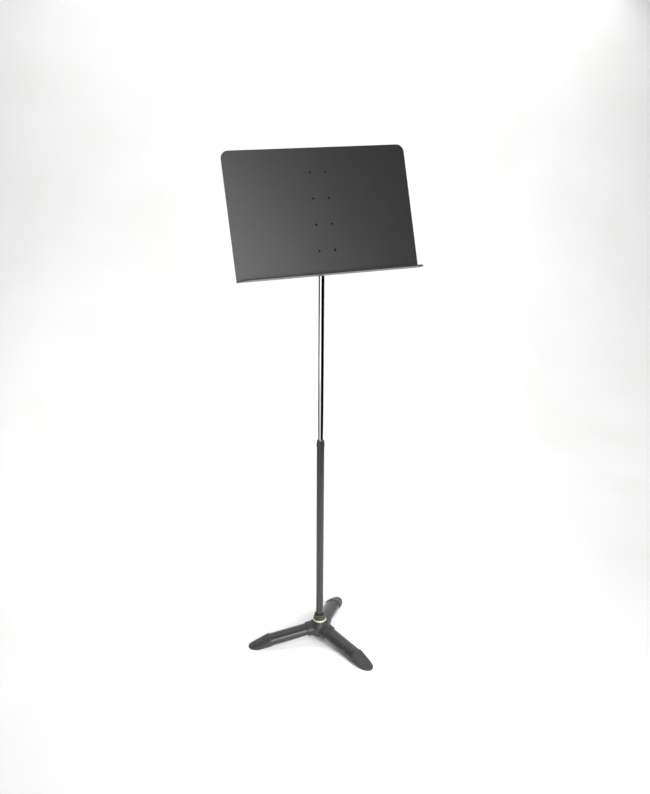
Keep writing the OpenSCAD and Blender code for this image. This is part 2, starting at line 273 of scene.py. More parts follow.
def make_materials(finishes):
    """One material for each of the record's slots."""
    # Polyester powder sprayed on sheet steel and baked: it flows into a fine orange peel, so
    # the eye sees a soft, even sheen with no brush marks.
    coat = finishes.desk_coat
    MATERIALS["desk_powder_coat"] = surface_finish(
        "powder_coated_steel",
        {"peel": Grain(1.1, rough=0.45), "grain": Grain(0.35, 1.0), "cloud": Grain(90, 3.0)},
        ("grain", shaded(coat, 0.9), coat), ("cloud", 0.33, 0.39),
        [("peel", 0.16, 0.05)], {"IOR": 1.5},
    )
    # Welded steel tube under a smoother powder coat: a touch more gloss than the desk, with
    # slow clouds where the coat runs thicker.
    coat = finishes.tube_coat
    MATERIALS["black_tube_coat"] = surface_finish(
        "powder_coated_tube", {"peel": Grain(1.6), "cloud": Grain(40, 4.0, 0.6)},
        ("cloud", shaded(coat, 0.86), coat), ("cloud", 0.22, 0.30),
        [("peel", 0.12, 0.06)], {"IOR": 1.5},
    )
    # A pressure die casting under black paint: the skin of the mould shows through as slow
    # waves, and the paint pools to a soft gloss.
    paint = finishes.casting_paint
    MATERIALS["black_casting"] = surface_finish(
        "painted_die_casting", {"waves": Grain(6, 3.0), "peel": Grain(1.2)},
        ("waves", shaded(paint, 0.8), paint), ("waves", 0.42, 0.52),
        [("waves", 0.25, 0.15), ("peel", 0.15, 0.06)], {"IOR": 1.5},
    )
    # Compression-moulded rubber: dull and slightly chalky, with the eroded grain of its
    # mould, and greyer where handling has bloomed it.
    rubber = finishes.foot_rubber
    MATERIALS["grey_rubber"] = surface_finish(
        "moulded_rubber", {"grain": Grain(0.9, 3.0, 0.65), "bloom": Grain(22, 4.0, 0.6)},
        ("bloom", rubber, shaded(rubber, 1.3)), ("bloom", 0.42, 0.6),
        [("grain", 0.35, 0.12)], {"IOR": 1.5, "Specular IOR Level": 0.45}, (0.35, 0.75),
    )
    # Bright chrome over nickel on a polished tube: a mirror, with hair-fine rub marks along
    # it from sliding in the bush.
    MATERIALS["chrome_tube"] = surface_finish(
        "chrome_plated_steel", {"rubs": Grain((0.5, 0.5, 60), 3.0, 0.6)},
        ("rubs", linear_from_hex("#dcdde0"), finishes.chrome), ("rubs", 0.03, 0.09),
        [], {"Metallic": 1.0},
    )
    # Acetal moulded in a polished tool: dark and glossy, with a very slight sink.
    MATERIALS["gloss_black_plastic"] = surface_finish(
        "moulded_acetal", {"sink": Grain(5, 1.0)},
        ("sink", finishes.bush_plastic, linear_from_hex("#29292a")), ("sink", 0.16, 0.24),
        [("sink", 0.1, 0.1)], {"IOR": 1.48},
    )
    # A zinc die casting in olive passivation: a thin drab film, with lighter, more metallic patches at random
    # where hands have worn it.
    film = finishes.nut_film
    MATERIALS["olive_nut_metal"] = surface_finish(
        "olive_passivated_zinc", {"film": Grain(3.5, 4.0, 0.6)},
        ("film", film, shaded(film, 1.7)), ("film", 0.34, 0.5),
        [("film", 0.2, 0.08)], {"Metallic": 0.65, "IOR": 1.5},
    )
    # Nylon moulded in a pale yellow-green: a waxy, slightly deep surface.
    nylon = finishes.ring_nylon
    MATERIALS["pale_green_plastic"] = surface_finish(
        "tinted_nylon", {"waxy": Grain(2.5)},
        ("waxy", shaded(nylon, 0.88), nylon), ("waxy", 0.34, 0.46), [],
        {"IOR": 1.53, "Subsurface Weight": 0.15, "Subsurface Scale": 1.0 * MM},
    )
    # Steel rivets in a near-black colour: darker and duller than the coat round them.
    black = linear_from_hex("#0c0c0c")
    MATERIALS["rivet_steel"] = surface_finish(
        "near_black_rivet_steel", {"grain": Grain(0.7)},
        ("grain", shaded(black, 0.85), black), ("grain", 0.7, 0.85),
        [("grain", 0.2, 0.06)], {"IOR": 1.5, "Specular IOR Level": 0.12},
    )
    MATERIALS.update({
        # Zinc plate, brightened and clear-passivated, is fairly bright with a cold tint.
        "zinc_steel": plain_metal("zinc_plated_steel", "#8f9396", "#b9bcbf", 0.25, 0.42, 1.4),
        # Zinc as cast is dull, with the mottle of its flow in the mould.
        "cast_zinc": plain_metal("cast_zinc_alloy", "#75787b", "#96999c", 0.45, 0.62, 2.2),
        # Hardened strip keeps a dark, oily temper colour.
        "spring_steel": plain_metal("tempered_spring_steel", "#55585b", "#7e8185", 0.28, 0.4, 1.0),
        # Black nylon and natural nylon come from the tool with the same soft sheen.
        "black_nylon": moulded_polymer("black_nylon", linear_from_hex("#161617"), 0.38, 0.5),
        "natural_nylon": moulded_polymer("natural_nylon", linear_from_hex("#ded9cb"), 0.38, 0.5),
        # Pressed fibre is dry and dull.
        "friction_fibre": moulded_polymer("friction_fibre", linear_from_hex("#2b2724"), 0.75, 0.9),
    })


# ---- Mesh tools

def add_object(name, data):
    """Puts a mesh, a light or a camera in the scene."""
    item = bpy.data.objects.new(name, data)
    bpy.context.scene.collection.objects.link(item)
    return item


def place_piece(name, mesh, node, smooth_angle=35):
    """Makes an object of a mesh that stands for a CAD node: it takes its finish and its body."""
    piece = add_object(name, mesh)
    mesh.materials.clear()
    mesh.materials.append(MATERIALS[SLOTS[node]])
    mesh.shade_smooth()
    mesh.set_sharp_from_angle(angle=math.radians(smooth_angle))
    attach(piece, BODY_OF[node])
    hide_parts(node)
    return piece


def mesh_from(bm, name):
    """Turns a bmesh into a mesh and frees it."""
    mesh = bpy.data.meshes.new(name)
    bm.to_mesh(mesh)
    bm.free()
    return mesh


def finished_mesh(bm, name, matrix):
    """Turns a bmesh drawn in millimetres into a mesh with its normals outwards. The matrix
    places it, in metres."""
    bm.transform(matrix @ Matrix.Scale(MM, 4))
    bmesh.ops.recalc_face_normals(bm, faces=bm.faces)
    return mesh_from(bm, name)


def joined(name, meshes):
    """One mesh with all the shapes of several."""
    bm = bmesh.new()
    for mesh in meshes:
        bm.from_mesh(mesh)
    return mesh_from(bm, name)


def with_modifiers(mesh, modifiers):
    """Applies modifiers, each a (kind, settings) pair, and returns the new mesh."""
    holder = add_object("holder", mesh)
    for kind, settings in modifiers:
        modifier = holder.modifiers.new(kind.lower(), kind)
        for name, value in settings.items():
            setattr(modifier, name, value)
    graph = bpy.context.evaluated_depsgraph_get()
    result = bpy.data.meshes.new_from_object(holder.evaluated_get(graph))
    result.name = mesh.name
    bpy.data.objects.remove(holder)
    return result


def cut(mesh, cutters):
    """Takes the cutters' shapes out of a mesh, one after another."""
    for cutter in cutters:
        tool = add_object("cutter", cutter)
        settings = {"operation": "DIFFERENCE", "object": tool, "solver": "EXACT"}
        mesh = with_modifiers(mesh, [("BOOLEAN", settings)])
        bpy.data.objects.remove(tool)
    return mesh


def soft_cast(mesh, passes):
    """Melts a mesh's edges into fillets, as a mould gives: one skin of small even faces,
    then smoothing, and more passes give wider fillets."""
    return with_modifiers(mesh, [
        ("REMESH", {"mode": "VOXEL", "voxel_size": CAST_FACE * MM}),
        ("SMOOTH", {"factor": 0.5, "iterations": passes}),
    ])


def fillet(points, radii, steps=5):
    """A closed 2D outline with its corners rounded, by one radius for each point."""
    out = []
    count = len(points)
    for i, (point, radius) in enumerate(zip(points, radii)):
        here = Vector(point)
        if radius <= 0:
            out.append(tuple(here))
            continue
        before = (Vector(points[i - 1]) - here).normalized()
        after = (Vector(points[(i + 1) % count]) - here).normalized()
        half = before.angle(after) / 2
        reach = radius / math.tan(half)
        centre = here + (before + after).normalized() * (radius / math.sin(half))
        start = here + before * reach - centre
        end = here + after * reach - centre
        first = math.atan2(start.y, start.x)
        turn = math.atan2(end.y, end.x) - first
        turn = (turn + math.pi) % (2 * math.pi) - math.pi
        for k in range(steps + 1):
            angle = first + turn * k / steps
            out.append((centre.x + radius * math.cos(angle), centre.y + radius * math.sin(angle)))
    return out


def skin(bm, rings, closed_loop=False):
    """Faces between closed rings of points. The run of rings closes on itself if asked,
    and otherwise each end closes in a point or in one flat face."""
    rows = []
    for ring in rings:
        if all((Vector(point) - Vector(ring[0])).length < 1e-6 for point in ring):
            rows.append([bm.verts.new(ring[0])])
        else:
            rows.append([bm.verts.new(point) for point in ring])
    pairs = list(zip(rows, rows[1:]))
    if closed_loop:
        pairs.append((rows[-1], rows[0]))
    for lower, upper in pairs:
        count = max(len(lower), len(upper))
        for i in range(count):
            j = (i + 1) % count
            corners = [lower[i % len(lower)], lower[j % len(lower)]]
            corners += [upper[j % len(upper)], upper[i % len(upper)]]
            bm.faces.new(list(dict.fromkeys(corners)))
    if not closed_loop:
        for row in (rows[0], rows[-1]):
            if len(row) > 2:
                bm.faces.new(row)
    return rows


def turned(name, profile, matrix, segments=96, shape=None):
    """A (radius, height) outline turned round Z. An outline that starts and ends on the
    axis gives a solid, and any other a ring. shape(angle, radius, height) may change the
    radius, as flutes and flats do."""
    solid = profile[0][0] == 0 and profile[-1][0] == 0
    bm = bmesh.new()
    rings = []
    for radius, height in profile:
        ring = []
        for k in range(segments):
            angle = 2 * math.pi * k / segments
            reach = shape(angle, radius, height) if shape else radius
            ring.append((reach * math.cos(angle), reach * math.sin(angle), height))
        rings.append(ring)
    skin(bm, rings, closed_loop=not solid)
    return finished_mesh(bm, name, matrix)


def hexagonal(across):
    """Clips a turned shape to a hexagon of that width across its flats."""
    def shape(angle, radius, height):
        flat = across / 2 / math.cos(angle % (math.pi / 3) - math.pi / 6)
        return min(radius, flat)
    return shape


def hex_bolt(name, start, end, matrix):
    """A bolt along Z, with its hexagonal head at the start."""
    seat = start + BOLT_HEAD
    profile = [
        (0, start), (5.9, start), (7.3, start + 0.75), (7.51, start + 1.4), (7.51, seat - 0.3),
        (7.2, seat), (BOLT_RADIUS, seat), (BOLT_RADIUS, end - 1), (3.3, end), (0, end),
    ]
    return turned(name, profile, matrix, 96, hexagonal(BOLT_FLATS))


def button_screw(tip, seat, head, matrix):
    """A screw along Z from its tip to the seat of its button head, with a hexagon socket."""
    out = math.copysign(1, seat - tip)
    top = seat + out * head.height
    profile = fillet(
        [(0, tip), (SCREW_RADIUS, tip), (SCREW_RADIUS, seat), (head.radius, seat),
         (head.radius, seat + out * head.rim), (head.crown, top), (head.mouth, top),
         (head.floor, seat + out * 0.9), (0, seat + out * 0.8)],
        [0, 0.5, 0, 0.2, 0.8, 0.3, 0, 0, 0], steps=3,
    )
    socket = hexagonal(head.flats)

    def shape(turn, radius, height):
        in_socket = radius < head.mouth + 0.1 and (height - seat) * out > 0
        return min(radius, socket(turn, head.radius, height)) if in_socket else radius

    return turned("screw", profile, matrix, 48, shape)


def flat_ring(name, inner, outer, foot, height, rounds, steps, matrix, segments=64):
    """A washer or a ring, with a radius on each edge of its section."""
    top = foot + height
    outline = fillet([(inner, foot), (outer, foot), (outer, top), (inner, top)], rounds, steps)
    return turned(name, outline, matrix, segments)


def drawn_bar(name, outline, start, end, matrix):
    """A closed outline in Y and Z drawn along X from start to end."""
    bm = bmesh.new()
    skin(bm, [[(x, y, z) for y, z in outline] for x in (start, end)])
    return finished_mesh(bm, name, matrix)


def oval_outline(width, height, side_radius, grow=0.0, steps=14):
    """A leg's section: flatter arcs above and below, tighter ones at its sides."""
    side = width / 2 - side_radius
    crown = (side ** 2 + (height / 2) ** 2 - side_radius ** 2) / (height - 2 * side_radius)
    rise = crown - height / 2
    meet = math.atan2(rise, side)
    points = []
    for k in range(steps + 1):
        angle = -meet + 2 * meet * k / steps
        points.append((
            side + (side_radius + grow) * math.cos(angle), (side_radius + grow) * math.sin(angle),
        ))
    for k in range(1, 2 * steps):
        angle = meet + (math.pi - 2 * meet) * k / (2 * steps)
        points.append(((crown + grow) * math.cos(angle), (crown + grow) * math.sin(angle) - rise))
    return points + [(-y, -z) for y, z in points]


def hole_cutter(radius, low, high, matrix, chamfer=0.0, segments=48):
    """A plug that cuts a round hole from low to high, widened at its low end."""
    profile = [(0, low - 1), (radius + chamfer + 1 if chamfer else radius, low - 1)]
    if chamfer:
        profile.append((radius, low + chamfer))
    profile += [(radius, high), (0, high)]
    return turned("hole", profile, matrix, segments)


def bevelled(mesh, width, segments, limit):
    """Rounds the edges that are sharper than a limit in degrees."""
    return with_modifiers(mesh, [("BEVEL", {
        "width": width * MM, "segments": segments, "limit_method": "ANGLE",
        "angle_limit": math.radians(limit), "use_clamp_overlap": True,
    })])


def edge_broken(node, width):
    """Places a copy of a CAD node, with its sharp edges broken, in the node's stead."""
    bm = bmesh.new()
    bm.from_mesh(NODES[node].data)
    bmesh.ops.remove_doubles(bm, verts=bm.verts, dist=0.002 * MM)
    bmesh.ops.dissolve_limit(
        bm, angle_limit=math.radians(0.5), verts=bm.verts, edges=bm.edges
    )
    mesh = bevelled(mesh_from(bm, node + "_detail"), width, 3, 30)
    place_piece(node + "_piece", mesh, node)


# ---- Settings

def length(name, description, millimetres):
    """A length that a user may change, stored in metres."""
    return bpy.props.FloatProperty(
        name=name, description=description, default=millimetres * MM, min=0.0,
        subtype="DISTANCE", unit="LENGTH", precision=4,
    )


def angle(name, description, degrees):
    """An angle that a user may change."""
    return bpy.props.FloatProperty(
        name=name, description=description, default=math.radians(degrees),
        subtype="ANGLE", unit="ROTATION",
    )


def colour(name, description, text):
    """A colour that a user may change."""
    return bpy.props.FloatVectorProperty(
        name=name, description=description, default=linear_from_hex(text),
        subtype="COLOR", size=4, min=0.0, max=1.0,
    )


class StandSizes(bpy.types.PropertyGroup):
    """Sizes of the detailed pieces that the CAD nodes leave sharp or plain."""

    sheet: length("Sheet", "Thickness of the desk's sheet steel", 1.2)
    fold: length("Fold", "Inner radius of the bend between the desk and its ledge", 1.5)
    desk_corner: length("Desk corner", "Radius of the desk's two upper corners", 20)
    ledge_corner: length("Ledge corner", "Radius of the ledge's two front corners", 22)
    bead: length("Bead", "Radius of the rolled bead round the ledge's rim", 1.8)
    bead_start: length("Bead start", "Distance from the desk's face to the bead's ends", 8)
    leg_width: length("Leg width", "Width of the oval leg tubes", 46)
    leg_height: length("Leg height", "Height of the oval leg tubes", 33)
    leg_side: length("Leg side", "Radius of the legs' round sides", 11.5)
    leg_seam: length("Leg seam", "Distance from the post to the seam of each foot", 153)
    leg_slope: angle("Leg slope", "Slope of the legs down to the floor", 9.5)
    leg_lift: length("Leg lift", "Gap between the floor and the leg tube at its seam", 1.2)
    socket_wall: length("Socket wall", "Wall of the hub's sockets round the legs", 3)


class StandFinishes(bpy.types.PropertyGroup):
    """Colours of the finishes that show most."""

    desk_coat: colour("Desk coat", "Powder coat of the desk", "#2a2a2c")
    tube_coat: colour("Tube coat", "Powder coat of the legs and the lower tube", "#323233")
    casting_paint: colour("Casting paint", "Paint of the hub casting", "#2b2c2d")
    foot_rubber: colour("Foot rubber", "Rubber of the feet", "#2b2b2c")
    chrome: colour("Chrome", "Chrome plate of the inner tube", "#eeeff0")
    bush_plastic: colour("Bush plastic", "Plastic of the guide bush", "#39393a")
    nut_film: colour("Nut film", "Olive passivation of the collar nut", "#47473f")
    ring_nylon: colour("Ring nylon", "Nylon of the ring under the collar nut", "#d9dcc2")


class StandStage(bpy.types.PropertyGroup):
    """The camera's place and the glow of the floor."""

    lens: bpy.props.FloatProperty(
        name="Lens", description="Focal length of the camera", default=42.03,
        subtype="DISTANCE_CAMERA", unit="CAMERA",
    )
    side: angle("Side", "How far left of the desk's front the camera stands", 21.045)
    distance: length("Distance", "Distance along the floor from the post to the camera", 2390.2)
    height: length("Height", "Height of the camera above the floor", 1732.3)
    down: angle("Down", "How far the camera looks down", 21.41)
    pan: angle("Pan", "How far the camera looks right of the post", 0.275)
    roll: angle("Roll", "How far the camera leans to its left", 0.435)
    floor_glow: bpy.props.FloatProperty(
        name="Floor glow", description="Light that the floor gives of itself", default=0.0,
        min=0.0,
    )


# ---- Pieces

class StandOperator(bpy.types.Operator):
    """What the stand's operators share."""

    bl_options = {"REGISTER", "UNDO"}

    def execute(self, context):
        self.build(context.scene.stand_sizes)
        return {"FINISHED"}


class STAND_OT_finishes(bpy.types.Operator):
    """Makes the materials and gives each CAD node its own"""

    bl_idname = "stand.finishes"
    bl_label = "Finishes"

    def execute(self, context):
        make_materials(context.scene.stand_finishes)
        for node, part in NODES.items():
            part.data.materials.clear()
            part.data.materials.append(MATERIALS[SLOTS[node]])
        return {"FINISHED"}


def smoothstep(value, low, high):
    """Rises from 0 to 1 as value goes from low to high."""
    t = max(0.0, min(1.0, (value - low) / (high - low)))
    return t * t * (3 - 2 * t)


class STAND_OT_desk_sheet(StandOperator):
    """Bends the desk and its ledge from one sheet, with a rolled bead and rivet holes"""

    bl_idname = "stand.desk_sheet"
    bl_label = "Desk sheet"

    COLUMNS = 40
    ARC_ROWS = 9
    BEND_ROWS = 7
    DESK_ROWS = 22
    RIM_STEPS = 14
    EDGE_BREAK = 0.4
    # Half the angle at which the bead's roll meets the sheet again
    BEAD_GAP = math.radians(26)

    def build(self, sizes):
        place = desk_frame()
        low, high = box_in("desk_panel", place)
        self.half = (high.x - low.x) / 2 / MM
        self.top = high.z / MM
        self.front = -low.y / MM
        self.sheet = sizes.sheet / MM
        self.fold = sizes.fold / MM
        self.bend_start = self.fold * (1 - math.pi / 2)
        rows = self.rows(sizes.desk_corner / MM, sizes.ledge_corner / MM, sizes.bead_start / MM)
        mesh = self.sheet_mesh(rows, sizes.bead / MM, place)
        holes = [
            hole_cutter(RIVET_RADIUS, 0, 5, place @ spot, chamfer=0.6) for spot in rivet_places()
        ]
        mesh = cut(mesh, [joined("holes", holes)])
        place_piece("desk_sheet", mesh, "desk_panel")

    def rows(self, desk_corner, ledge_corner, bead_start):
        """Rows across the flat sheet, from the ledge's front up to the desk's top. Each is
        (right end, its outward direction, share of the bead there)."""
        front = self.bend_start - (self.front - self.fold)
        rows = self.corner_rows(ledge_corner, front + ledge_corner, -math.pi / 2, 1.0)
        bead_end = self.bend_start - (bead_start - self.fold)
        sides = [bead_end + step for step in (-6, -3, -1, 1, 3)]
        bend = self.fold - self.bend_start
        sides += [self.bend_start + bend * k / (self.BEND_ROWS - 1) for k in range(self.BEND_ROWS)]
        climb = self.top - desk_corner - self.fold
        sides += [self.fold + climb * k / self.DESK_ROWS for k in range(1, self.DESK_ROWS)]
        for up in sides:
            share = 1 - smoothstep(up, bead_end - 2, bead_end + 2)
            rows.append((Vector((self.half, up)), Vector((1, 0)), share))
        return rows + self.corner_rows(desk_corner, self.top - desk_corner, 0, 0.0)

    def corner_rows(self, radius, up, start, share):
        """Rows round a corner, a quarter turn from the start."""
        middle = Vector((self.half - radius, up))
        rows = []
        for k in range(self.ARC_ROWS):
            turn = start + math.pi / 2 * k / (self.ARC_ROWS - 1)
            out = Vector((math.cos(turn), math.sin(turn)))
            rows.append((middle + radius * out, out, share))
        return rows

    def rim(self, bead):
        """(inset, depth) of the rim's layers: where the sheet is only cut, and where it is
        rolled into a bead."""
        cut_lead, bead_lead = (1.4, 0.9, 0.5), (5.4, 4.6, 3.9)
        cut_rim = [(inset, 0) for inset in cut_lead]
        bead_rim = [(inset, 0) for inset in bead_lead]
        r = self.EDGE_BREAK
        half = self.RIM_STEPS // 2
        middle = self.sheet / 2
        for k in range(self.RIM_STEPS):
            quarter = math.pi / 2 * (k % half) / (half - 1)
            if k < half:
                cut_rim.append((r - r * math.sin(quarter), r - r * math.cos(quarter)))
            else:
                cut_rim.append((r - r * math.cos(quarter), self.sheet - r + r * math.sin(quarter)))
            wrap = math.pi * 2 - 2 * self.BEAD_GAP
            turn = self.BEAD_GAP + wrap * k / (self.RIM_STEPS - 1)
            bead_rim.append((bead + bead * math.cos(turn), middle - bead * math.sin(turn)))
        cut_rim += [(inset, self.sheet) for inset in reversed(cut_lead)]
        bead_rim += [(inset, self.sheet) for inset in reversed(bead_lead)]
        return cut_rim, bead_rim

    def bent(self, across, up, depth):
        """A point of the flat sheet, depth below its front, once the ledge is bent."""
        if up >= self.fold:
            return across, depth, up
        if up <= self.bend_start:
            return across, up - self.bend_start - self.fold, -depth
        turn = (up - self.bend_start) / self.fold - math.pi / 2
        reach = self.fold + depth
        return across, reach * math.cos(turn) - self.fold, reach * math.sin(turn) + self.fold

    def sheet_mesh(self, rows, bead, place):
        """The bent sheet: the rim's loops, then a grid inside them on its front and back."""
        bm = bmesh.new()
        shares = [2 * j / self.COLUMNS - 1 for j in range(self.COLUMNS + 1)]
        edge = [(rows[0], share) for share in shares]
        edge += [(row, 1) for row in rows[1:-1]]
        edge += [(rows[-1], share) for share in reversed(shares)]
        edge += [(row, -1) for row in reversed(rows[1:-1])]
        loops = []
        for cut_layer, bead_layer in zip(*self.rim(bead)):
            loops.append([
                self.vertex(bm, row, share, cut_layer, bead_layer) for row, share in edge
            ])
        count = len(edge)
        for lower, upper in zip(loops, loops[1:]):
            for i in range(count):
                j = (i + 1) % count
                bm.faces.new((lower[i], lower[j], upper[j], upper[i]))
        for side in (0, -1):
            self.fill(bm, loops[side], rows, [layers[side] for layers in self.rim(bead)], shares)
        return finished_mesh(bm, "desk_sheet", place)

    def vertex(self, bm, row, share, cut_layer, bead_layer):
        """A vertex on a row, at that share of the way from the middle to its right end."""
        end, out, rolled = row
        inset, depth = Vector(cut_layer).lerp(Vector(bead_layer), rolled)
        return bm.verts.new(self.bent(
            (end.x - out.x * inset) * share, end.y - out.y * inset, depth
        ))

    def fill(self, bm, loop, rows, layers, shares):
        """The sheet's front or back inside its rim, as an even grid."""
        last = self.COLUMNS
        count = len(rows)
        grid = [[None] * (last + 1) for _ in rows]
        for j in range(last + 1):
            grid[0][j] = loop[j]
            grid[-1][last - j] = loop[last + count - 1 + j]
        for i in range(1, count - 1):
            grid[i][last] = loop[last + i]
            grid[i][0] = loop[2 * last + 2 * (count - 1) - i]
            for j in range(1, last):
                grid[i][j] = self.vertex(bm, rows[i], shares[j], *layers)
        for lower, upper in zip(grid, grid[1:]):
            for j in range(last):
                bm.faces.new((lower[j], lower[j + 1], upper[j + 1], upper[j]))


class STAND_OT_desk_channel(StandOperator):
    """Presses the hat-shaped channel behind the desk, with its bend radii and holes"""

    bl_idname = "stand.desk_channel"
    bl_label = "Desk channel"

    STEEL = 1.5
    HALF_CROWN = 15.5
    BEND = 1.2
    EDGE = 0.4

    def build(self, sizes):
        place = desk_frame()
        low, high = box_in("desk_spine", place)
        low, high = low / MM, high / MM
        steel, crown, bend, edge = self.STEEL, self.HALF_CROWN, self.BEND, self.EDGE
        half = [
            (low.y, high.x, edge), (low.y + steel, high.x, edge),
            (low.y + steel, crown, bend), (high.y, crown, bend + steel),
        ]
        inner = [(high.y - steel, crown - steel, bend), (low.y, crown - steel, bend + steel)]
        corners = half + [(y, -x, radius) for y, x, radius in reversed(half)]
        corners += [(y, -x, radius) for y, x, radius in reversed(inner)] + inner
        outline = fillet([corner[:2] for corner in corners], [corner[2] for corner in corners], 6)
        # The bar is drawn along X, and stands up along the desk's slope.
        stand_up = Matrix(((0, 0, 1, 0), (0, 1, 0, 0), (1, 0, 0, 0), (0, 0, 0, 1)))
        mesh = drawn_bar("desk_channel", outline, low.z, high.z, place @ stand_up)
        mesh = bevelled(mesh, 0.3, 2, 60)
        holes = [hole_cutter(RIVET_RADIUS, -1, 6, place @ spot) for spot in rivet_places()]
        clear = SCREW_RADIUS + 0.15
        holes += [hole_cutter(clear, 8, 20, place @ spot) for spot in bracket_screw_places()]
        place_piece("desk_channel", cut(mesh, [joined("holes", holes)]), "desk_spine")


class STAND_OT_desk_rivets(StandOperator):
    """Sets the desk's rivets: a little below its face, and domed behind"""

    bl_idname = "stand.desk_rivets"
    bl_label = "Desk rivets"

    # Thickness of the desk's sheet and the channel's flange together
    GRIP = 2.7

    def build(self, sizes):
        place = desk_frame()
        shank, head, through = RIVET_RADIUS, RIVET_HEAD, self.GRIP
        profile = fillet(
            [(0, 0.5), (1.2, 0.45), (shank, 0.6), (shank, through), (head, through),
             (head, through + 0.4), (3.2, through + 1.2), (1.6, through + 1.55), (0, through + 1.6)],
            [0, 0.3, 0.15, 0, 0.12, 0.5, 1.2, 1.5, 0], steps=4,
        )
        rivets = [turned("rivet", profile, place @ spot, 40) for spot in rivet_places()]
        place_piece("desk_rivet_set", joined("desk_rivets", rivets), "desk_rivets", 40)


class STAND_OT_tilt_bracket(StandOperator):
    """Makes the bracket behind the desk and its four screws and nuts"""

    bl_idname = "stand.tilt_bracket"
    bl_label = "Tilt bracket"

    NUT_FLATS = 8

    def build(self, sizes):
        edge_broken("tilt_bracket", 0.5)
        place = desk_frame()
        tip, top = span("bracket_screws", place, 1)
        seat = top - BRACKET_HEAD.height
        spots = [place @ spot for spot in bracket_screw_places()]
        screws = [button_screw(tip, seat, BRACKET_HEAD, spot) for spot in spots]
        place_piece("bracket_screw_set", joined("bracket_screws", screws), "bracket_screws")
        foot, top = span("bracket_nuts", place, 1)
        nut = [
            (2.5, foot + 0.3), (2.8, foot), (4.05, foot), (4.62, foot + 0.45),
            (4.62, top - 0.45), (4.05, top), (2.8, top), (2.5, top - 0.3),
        ]
        nuts = [turned("nut", nut, spot, 48, hexagonal(self.NUT_FLATS)) for spot in spots]
        place_piece("bracket_nut_set", joined("bracket_nuts", nuts), "bracket_nuts")


class STAND_OT_tilt_hinge(StandOperator):
    """Turns the tilt bolt, its washers and its locking nut"""

    bl_idname = "stand.tilt_hinge"
    bl_label = "Tilt hinge"

    WASHER = 1.2

    def build(self, sizes):
        place = hinge_frame()
        bolt = hex_bolt("tilt_bolt", *span("tilt_bolt", place), place)
        place_piece("tilt_bolt_piece", bolt, "tilt_bolt")
        start, _ = span("tilt_nut", place)
        # The nut's body, and the thinner collar that holds its locking ring
        profile = [
            (4, 0.5), (4.6, 0), (6.4, 0), (7.51, 0.7), (7.51, 5.8), (6.4, 6.5), (5.4, 6.5),
            (5.4, 7.5), (5, 8), (4.4, 8), (4, 7.6),
        ]
        profile = [(radius, start + along) for radius, along in profile]
        nut = turned("tilt_nut", profile, place, 96, hexagonal(BOLT_FLATS))
        place_piece("tilt_nut_piece", nut, "tilt_nut")
        low, high = span("tilt_washers", place)
        thick = self.WASHER
        washers = [
            flat_ring("washer", BOLT_RADIUS, 8, foot, thick, [0.2, 0.3, 0.3, 0.2], 3, place)
            for foot in (low, high - thick)
        ]
        place_piece("tilt_washer_set", joined("tilt_washers", washers), "tilt_washers")


class STAND_OT_hub(StandOperator):
    """Casts the hub: a bell with three sockets that flow into it"""

    bl_idname = "stand.hub"
    bl_label = "Hub casting"

    # The bell's outline from the floor of the hub up to its spigot, and each corner's radius
    BELL = (
        ((0, 18), 0), ((24, 18), 2), ((31, 23), 6), ((34.5, 32), 8), ((34.5, 43), 8),
        ((31.5, 51), 8), ((25, 58.5), 5), ((19.5, 63), 0), ((19.5, 66.5), 0), ((14, 66.5), 0),
        ((14, 84), 0.6), ((0, 84), 0),
    )

    def build(self, sizes):
        axis = at_height(0)
        corners, rounds = zip(*self.BELL)
        shapes = [turned("bell", fillet(corners, rounds), axis, 128)]
        section = [size / MM for size in (sizes.leg_width, sizes.leg_height, sizes.leg_side)]
        outer = oval_outline(*section, sizes.socket_wall / MM)
        bore = oval_outline(*section)
        hole = [(0, -30), (SCREW_RADIUS, -30), (SCREW_RADIUS, 0), (0, 0)]
        cutters = [
            turned("seat", [(0, 26), (11, 26), (11, 100), (0, 100)], axis),
            turned("bolt_hole", [(0, 5), (4.15, 5), (4.15, 40), (0, 40)], axis, 48),
        ]
        for number in LEGS:
            place = leg_frame(number, sizes)
            shapes.append(drawn_bar("socket", outer, 6, 42, place))
            cutters.append(drawn_bar("bore", bore, 27, 80, place))
            screw = place @ Matrix.Translation((LEG_SCREW_AT * MM, 0, 0))
            cutters.append(turned("screw_hole", hole, screw, 32))
        mesh = cut(soft_cast(joined("hub", shapes), 14), cutters)
        place_piece("hub_piece", mesh, "hub_casting", 40)


class STAND_OT_feet(StandOperator):
    """Moulds the three feet, with soft edges and treads under their soles"""

    bl_idname = "stand.feet"
    bl_label = "Feet"

    TREADS = 6
    TREAD_START = 161
    TREAD_PITCH = 9.0
    TREAD_WIDTH = 2.2
    TREAD_DEPTH = 1.2

    def build(self, sizes):
        depth = self.TREAD_DEPTH
        outline = [(-40, -1), (40, -1), (40, depth), (-40, depth)]
        for number in LEGS:
            node = f"foot_{number}"
            place = foot_frame(number)
            treads = []
            for k in range(self.TREADS):
                start = self.TREAD_START + self.TREAD_PITCH * k
                treads.append(drawn_bar("tread", outline, start, start + self.TREAD_WIDTH, place))
            mesh = soft_cast(joined(node, [NODES[node].data]), 7)
            place_piece(f"{node}_piece", cut(mesh, [joined("treads", treads)]), node, 40)


